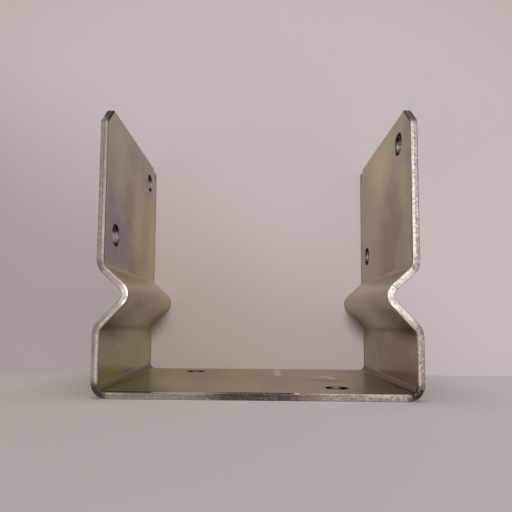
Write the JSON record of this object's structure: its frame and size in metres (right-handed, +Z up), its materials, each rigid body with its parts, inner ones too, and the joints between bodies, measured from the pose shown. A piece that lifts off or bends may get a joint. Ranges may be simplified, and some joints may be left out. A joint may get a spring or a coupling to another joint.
{
  "type": "post anchor",
  "caption": "U-shaped post anchor folded from one steel strap, with a V crimp across each leg, clipped top corners and punched bolt holes in the legs and base.",
  "frame": {"origin": "middle of the base's underside", "axes": "+X from leg to leg, +Y across the strap's width, +Z up the legs"},
  "size_m": [0.129, 0.0886, 0.1185],
  "materials": {
    "zinc_plated_steel": "dull zinc plate, sheared edges"
  },
  "bodies": {
    "root": {"anchor_strap": "zinc_plated_steel"}
  },
  "joints": []
}
